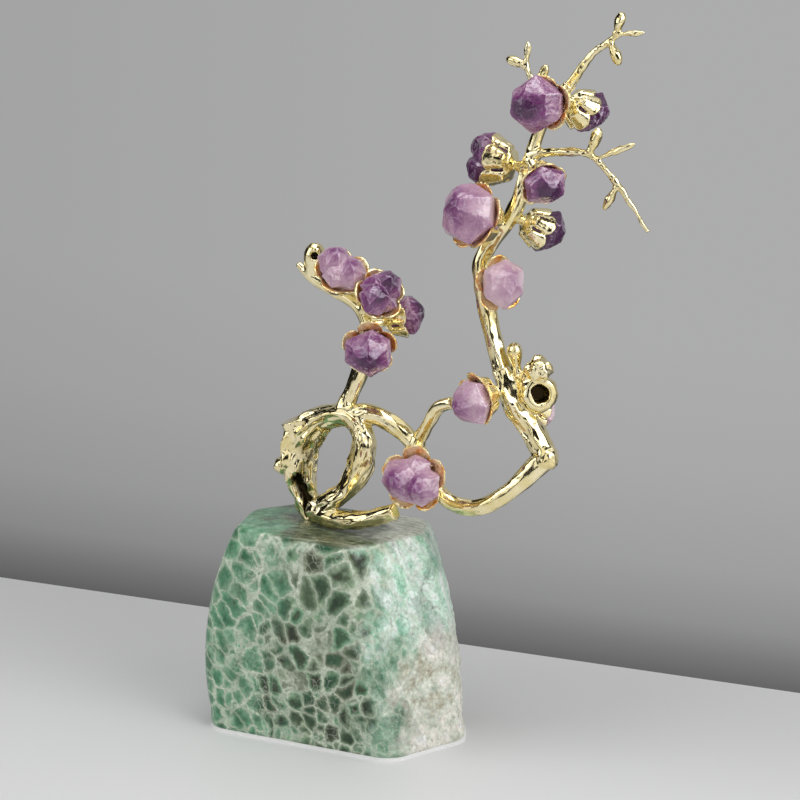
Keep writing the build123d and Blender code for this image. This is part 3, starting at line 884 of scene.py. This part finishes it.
def petal(form, seat, blossom, turn, seed):
    """A plump fluted petal: thick along its middle, its rounded tip lying on the stone or rolled outward."""
    grow = 1 + 0.22 * noise.noise(Vector((seed * 1.7, 0.3, 0.9)))
    roll = 0.13 + 0.23 * blossom.amber + 0.16 * max(0.0, noise.noise(Vector((0.2, seed * 2.3, 0.4))))
    foot, rim = 0.28 * blossom.width, 0.395 * blossom.width
    rise = (0.30 - 0.03 * blossom.amber) * blossom.length * grow
    heights = ((0, -1.2), (0.2, 0.0), (0.62, rise), (0.85, 1.3 * rise), (1, 1.48 * rise))
    insides = ((0, 0.4 * foot), (0.2, foot), (0.62, rim), (0.85, 1.05 * rim * (1 + 0.6 * roll)),
               (1, 1.1 * rim * (1 + roll)))
    inner, outer = [], []
    for i in range(PETAL_ROWS + 1):
        v = i / PETAL_ROWS
        if v < 0.6:
            half = 27 + 8 * v / 0.6
        else:
            half = 35 * math.sqrt(max(0.0, 1 - ((v - 0.6) / 0.405) ** 2)) + 1.0
        inner.append([])
        outer.append([])
        for k in range(PETAL_COLUMNS + 1):
            u = 2 * k / PETAL_COLUMNS - 1
            wave = noise.noise(Vector((u * 1.4, v * 2.2, seed * 3.7)))
            angle = math.radians(turn + half * u)
            inside = blended(v, insides) * (1 + 0.02 * u * u) + 0.2 * wave
            flute = 1 + 0.07 * math.cos(3 * math.pi * u)
            plump = 0.4 + 1.3 * math.sqrt(max(0.0, 1 - u * u)) * math.sqrt(max(0.0, 1 - v**5)) * flute
            lift = blended(v, heights) + 0.35 * wave
            for layer, reach in ((inner, inside), (outer, inside + plump)):
                local = Vector((reach * math.cos(angle), reach * math.sin(angle), lift)) * MM
                layer[-1].append(form.verts.new(seat @ local))
    petal_faces(form, inner, outer)


def petal_faces(form, inner, outer):
    """Faces of a petal: its inside, its outside and the rim between them."""
    for i in range(PETAL_ROWS):
        for k in range(PETAL_COLUMNS):
            form.faces.new((outer[i][k], outer[i][k + 1], outer[i + 1][k + 1], outer[i + 1][k]))
            form.faces.new((inner[i][k], inner[i + 1][k], inner[i + 1][k + 1], inner[i][k + 1]))
        form.faces.new((inner[i][0], outer[i][0], outer[i + 1][0], inner[i + 1][0]))
        form.faces.new((inner[i][-1], inner[i + 1][-1], outer[i + 1][-1], outer[i][-1]))
    for k in range(PETAL_COLUMNS):
        form.faces.new((inner[0][k], inner[0][k + 1], outer[0][k + 1], outer[0][k]))
        form.faces.new((inner[-1][k], outer[-1][k], outer[-1][k + 1], inner[-1][k + 1]))


def cup(name, blossom, seed):
    """The cast cup: a flared foot and five petals, amber inside and at their tips."""
    form = bmesh.new()
    way = Vector(blossom.way).normalized()
    start = Vector(blossom.root) + way * (blossom.radius + SPUR_LENGTH)
    wide = 0.29 * blossom.width + 0.6
    profile = ((-0.4, SPUR_RADIUS), (0.3, SPUR_RADIUS * 1.05), (1.2, wide * 0.75),
               (CUP_FOOT - 0.2, wide * 0.95), (CUP_FOOT, wide * 0.9))
    limb(form, [(*(start + way * lift), reach) for lift, reach in profile], seed, 0.4)
    seat = seat_frame(blossom)
    for k in range(PETALS):
        petal(form, seat, blossom, 360 / PETALS * k, seed * PETALS + k)
    piece = skinned(form, "cup_" + name + "_cast", THIN_VOXEL, 2)
    moved(piece, lambda p, n: MM * (0.08 * waves(p, 0.7, 3) + 0.04 * waves(p, 1.6, 4)))
    back = seat.inverted()
    shares = []
    for vertex in piece.data.vertices:
        at = back @ vertex.co
        outward = (back.to_3x3() @ vertex.normal).dot(Vector((at.x, at.y, 0)).normalized())
        inside = clamped(0.35 - 1.6 * outward)
        tip = clamped(at.z / (0.25 * blossom.length * MM) - 0.3)
        shares.append(max(inside, tip * blossom.amber) if at.z > -0.2 * MM else 0.0)
    noted(piece, "inner", shares)
    held(piece, "cup_" + name, GILT)


def hull(points):
    """The convex form round some points."""
    made = bmesh.new()
    for point in points:
        made.verts.new(point)
    bmesh.ops.convex_hull(made, input=made.verts)
    loose = [vertex for vertex in made.verts if not vertex.link_faces]
    bmesh.ops.delete(made, geom=loose, context="VERTS")
    return made


def rough_point(form, seat, width, length, aside, lean, chance):
    """One rough amethyst point: six uneven sides, a leaning tip, corners chipped off."""
    corners = []
    turn = chance.uniform(0, 60)
    skew = [chance.uniform(0.93, 1.05) for _ in range(POINT_SIDES)]
    for share, reach in POINT_LEVELS:
        shift = lean * width * max(0.0, share - 0.3)
        apart = aside * min(1.0, 0.6 + 0.7 * share)
        for k in range(POINT_SIDES):
            angle = math.radians(turn + 60 * k + chance.uniform(-8, 8))
            far = width * reach * skew[k] * chance.uniform(0.97, 1.03)
            height = length * (share + chance.uniform(-0.03, 0.03) * (share > 0))
            corners.append(Vector((apart + shift.x + far * math.cos(angle), shift.y + far * math.sin(angle),
                                   height)))
    shift = lean * width * 0.7
    corners.append(Vector((aside + shift.x, shift.y + chance.uniform(-0.05, 0.05) * width, length * 1.01)))
    piece = hull(corners)
    for _ in range(POINT_CHIPS):
        way = Vector((chance.uniform(-1, 1), chance.uniform(-1, 1), chance.uniform(0.1, 1.0))).normalized()
        far = max(vertex.co.dot(way) for vertex in piece.verts) - chance.uniform(0.02, 0.06) * width
        bmesh.ops.bisect_plane(piece, geom=piece.verts[:] + piece.edges[:] + piece.faces[:],
                               plane_co=way * far, plane_no=way, clear_outer=True)
        corners = [vertex.co.copy() for vertex in piece.verts]
        piece.free()
        piece = hull(corners)
    copy = {}
    for vertex in piece.verts:
        copy[vertex] = form.verts.new(seat @ (vertex.co * MM))
    for face in piece.faces:
        form.faces.new([copy[vertex] for vertex in face.verts])
    piece.free()


def amethyst(name, blossom, seed):
    """The stone of one blossom: one rough point, or two leaning apart with small ones between them."""
    chance = random.Random(seed * 17 + 5)
    form = bmesh.new()
    width, length = blossom.width, blossom.length
    seat = seat_frame(blossom)
    lobe = width if blossom.points == 1 else LOBE_SHARE * width
    aside = 0.6 * (width - lobe)
    lean = seat.to_3x3().inverted() @ Vector(LEANS.get(name, USUAL_LEAN))
    hearts = []
    for k in range(blossom.points):
        turn = math.radians(blossom.split + 180 * k)
        turned = seat @ Matrix.Rotation(turn, 4, "Z")
        flat = Matrix.Rotation(-turn, 3, "Z") @ lean
        rough_point(form, turned, lobe, length * (1 - 0.06 * k), aside, flat, chance)
        hearts.append(turned @ (Vector((aside + flat.x * lobe * 0.5, flat.y * lobe * 0.5, 0)) * MM))
    if blossom.points == 2:
        for turn, wide, tall, apart in SIDE_POINTS:
            turned = seat @ Matrix.Rotation(math.radians(blossom.split + turn), 4, "Z")
            rough_point(form, turned, wide * width, length * tall, apart * width, Vector(), chance)
    piece = skinned(form, "amethyst_" + name + "_rough", AMETHYST_VOXEL, 1)
    moved(piece, lambda p, n: MM * (0.15 * waves(p, 0.33, seed) + 0.12 * waves(p, 0.8, seed + 1)
                                    + 0.06 * waves(p, 1.7, seed + 2)))
    noted(piece, "zone", heart_zones(piece, hearts, blossom, lobe))
    noted(piece, "tone", [blossom.tone] * len(piece.data.vertices))
    held(piece, "amethyst_" + name, AMETHYST)


def heart_zones(piece, hearts, blossom, lobe):
    """How near each vertex lies to the dark hearts of the points, strongest toward the tips."""
    way = Vector(blossom.way).normalized()
    zones = []
    for vertex in piece.data.vertices:
        nearest = 9.0
        for heart in hearts:
            offset = vertex.co - heart
            nearest = min(nearest, (offset - way * offset.dot(way)).length / (0.30 * lobe * MM))
        high = (vertex.co - hearts[0]).dot(way) / (blossom.length * MM)
        zones.append(math.exp(-nearest * nearest) * clamped(high * 2.4 - 0.9))
    return zones


for order, (blossom_name, blossom_row) in enumerate(BLOSSOMS.items()):
    cup(blossom_name, blossom_row, order + CUP_SEED)
    amethyst(blossom_name, blossom_row, order + 1)


# Stone block, pad and pin

def stone():
    """The fluorite block: broken, pitted faces, crumbled at its lower right, its top polished flat."""
    form = bmesh.new()
    form.from_mesh(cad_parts["stone_base"].data)
    piece = skinned(form, "stone_block", STONE_VOXEL, 14)

    def wear(place, normal):
        x, z = place.x / MM, place.z / MM
        top = clamped((normal.z - 0.5) / 0.3)
        foot = clamped((6.0 - z) / 4.5)
        crumbled = clamped((x - 16) / 12) * clamped((62 - z) / 20)
        broken = 0.5 + 0.5 * waves(place, 0.06, 1)
        scoops = noise.voronoi(place * (0.16 / MM))[0][0] + 0.5 * noise.voronoi(place * (0.4 / MM))[0][0]
        pits = 0.5 + 0.5 * waves(place, 0.6, 4)
        depth = 0.4 * broken + (0.12 + 1.3 * crumbled) * max(0.0, 1.1 - scoops)
        depth += (0.08 + 0.3 * crumbled) * pits
        return -MM * (depth * (1 - 0.96 * top) * (1 - 0.8 * foot) - 0.7 * foot)

    moved(piece, wear)
    held(piece, "stone_base", FLUORITE)


stone()
for node_name, surface in (("foot_pad", PAD), ("root_dowel", PIN)):
    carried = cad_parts[node_name]
    carried.data.materials.clear()
    carried.data.materials.append(surface)


# Table, light and camera

def table():
    """A white table top that ends at a grey wall, with painted shade that makes it darker and cooler toward
    the wall, and painted light that makes it brighter toward its right end.
    """
    mesh = bpy.data.meshes.new("table")
    mesh.from_pydata(TABLE_TOP, [], [tuple(range(len(TABLE_TOP)))])
    made = bpy.data.objects.new("table", mesh)
    bpy.context.scene.collection.objects.link(made)
    surface, tree, shader = material("table")
    place = object_place(tree)
    # painted shade: the table darker and cooler toward the wall
    far = ramp(tree, between(tree, axis(tree, place, "Y"), -0.12, 0.10), TABLE_PAINTED_SHADES)
    clouded = mix(tree, times(tree, grain(tree, place, 3, 2), 0.1), far, (0.80, 0.80, 0.80))
    # painted light: the table brighter toward its right end
    lit = spread(tree, axis(tree, place, "X"), 0.97, 1.07, -0.08, 0.16)
    plugged(tree, shader, {"Base Color": scaled(tree, clouded, lit), "Roughness": 0.45})
    mesh.materials.append(surface)


def softbox(name, place, target, size, power):
    """A rectangular soft light that faces its target."""
    light = bpy.data.lights.new(name, "AREA")
    light.shape = "RECTANGLE"
    light.size, light.size_y = size
    light.energy = power
    made = bpy.data.objects.new(name, light)
    made.location = place
    made.rotation_euler = (Vector(target) - Vector(place)).to_track_quat("-Z", "Y").to_euler()
    bpy.context.scene.collection.objects.link(made)


def studio():
    """The room: even grey light, a wall with a painted shadow band that darkens it toward the table's edge and
    painted light that brightens it to the right, and what only polished surfaces show: bright and dark bands
    behind the viewer, and a dark side on the viewer's left."""
    world = bpy.data.worlds.new("studio")
    world.use_nodes = True
    bpy.context.scene.world = world
    room = world.node_tree
    direction = node(room, "TexCoord", {}).outputs["Generated"]
    ahead = axis(room, direction, "Y")
    rise = spread(room, along(room, direction, WALL_UP), 0.0, 1.0, -0.02, 0.16)
    # painted light: the wall a little brighter toward the right
    aside = spread(room, axis(room, direction, "X"), 0.93, 1.05, -0.62, -0.34)
    # painted shadow: a dark band on the wall just above the table's edge
    edge = scaled(room, ramp(room, rise, WALL_GREY_WITH_SHADOW), aside)
    even = ramp(room, grain(room, direction, 0.8, 1.0), EVEN_SHADES)
    wall = mix(room, between(room, ahead, 0.45, 0.7), even, edge)
    bands = node(room, "TexWave", {"Vector": direction, "Scale": 0.42, "Distortion": 5.0, "Detail": 2.0,
                                   "Detail Scale": 1.4, "Phase Offset": 0.8},
                 wave_type="BANDS", bands_direction="X").outputs["Fac"]
    leftward = plus(room, along(room, direction, DARK_WAY),
                    times(room, grain(room, direction, 2.2, 2.0), 0.2))
    parts = mix(room, between(room, leftward, 0.84, 0.97), ramp(room, bands, BAND_SHADES), DARK)
    parts = mix(room, between(room, ahead, 0.3, 0.6), parts, wall)
    path = node(room, "LightPath", {}).outputs
    seen = mix(room, path["Is Camera Ray"], even, wall)
    plugged(room, room.nodes["Background"], {
        "Color": mix(room, path["Is Glossy Ray"], seen, parts),
        "Strength": 1.0,
    })


def photo_camera():
    """The camera at the photograph's angle."""
    lens = bpy.data.cameras.new("camera")
    lens.lens = LENS
    lens.sensor_width = SENSOR
    lens.clip_start = CLIP_START
    camera = bpy.data.objects.new("camera", lens)
    camera.location = CAMERA_PLACE
    camera.rotation_euler = (math.radians(CAMERA_TILT), 0, math.radians(CAMERA_TURN))
    bpy.context.scene.collection.objects.link(camera)
    bpy.context.scene.camera = camera


table()
for lamp_name, lamp in LAMPS.items():
    softbox(lamp_name, *lamp)
studio()
photo_camera()
bpy.context.scene.view_settings.view_transform = "Standard"
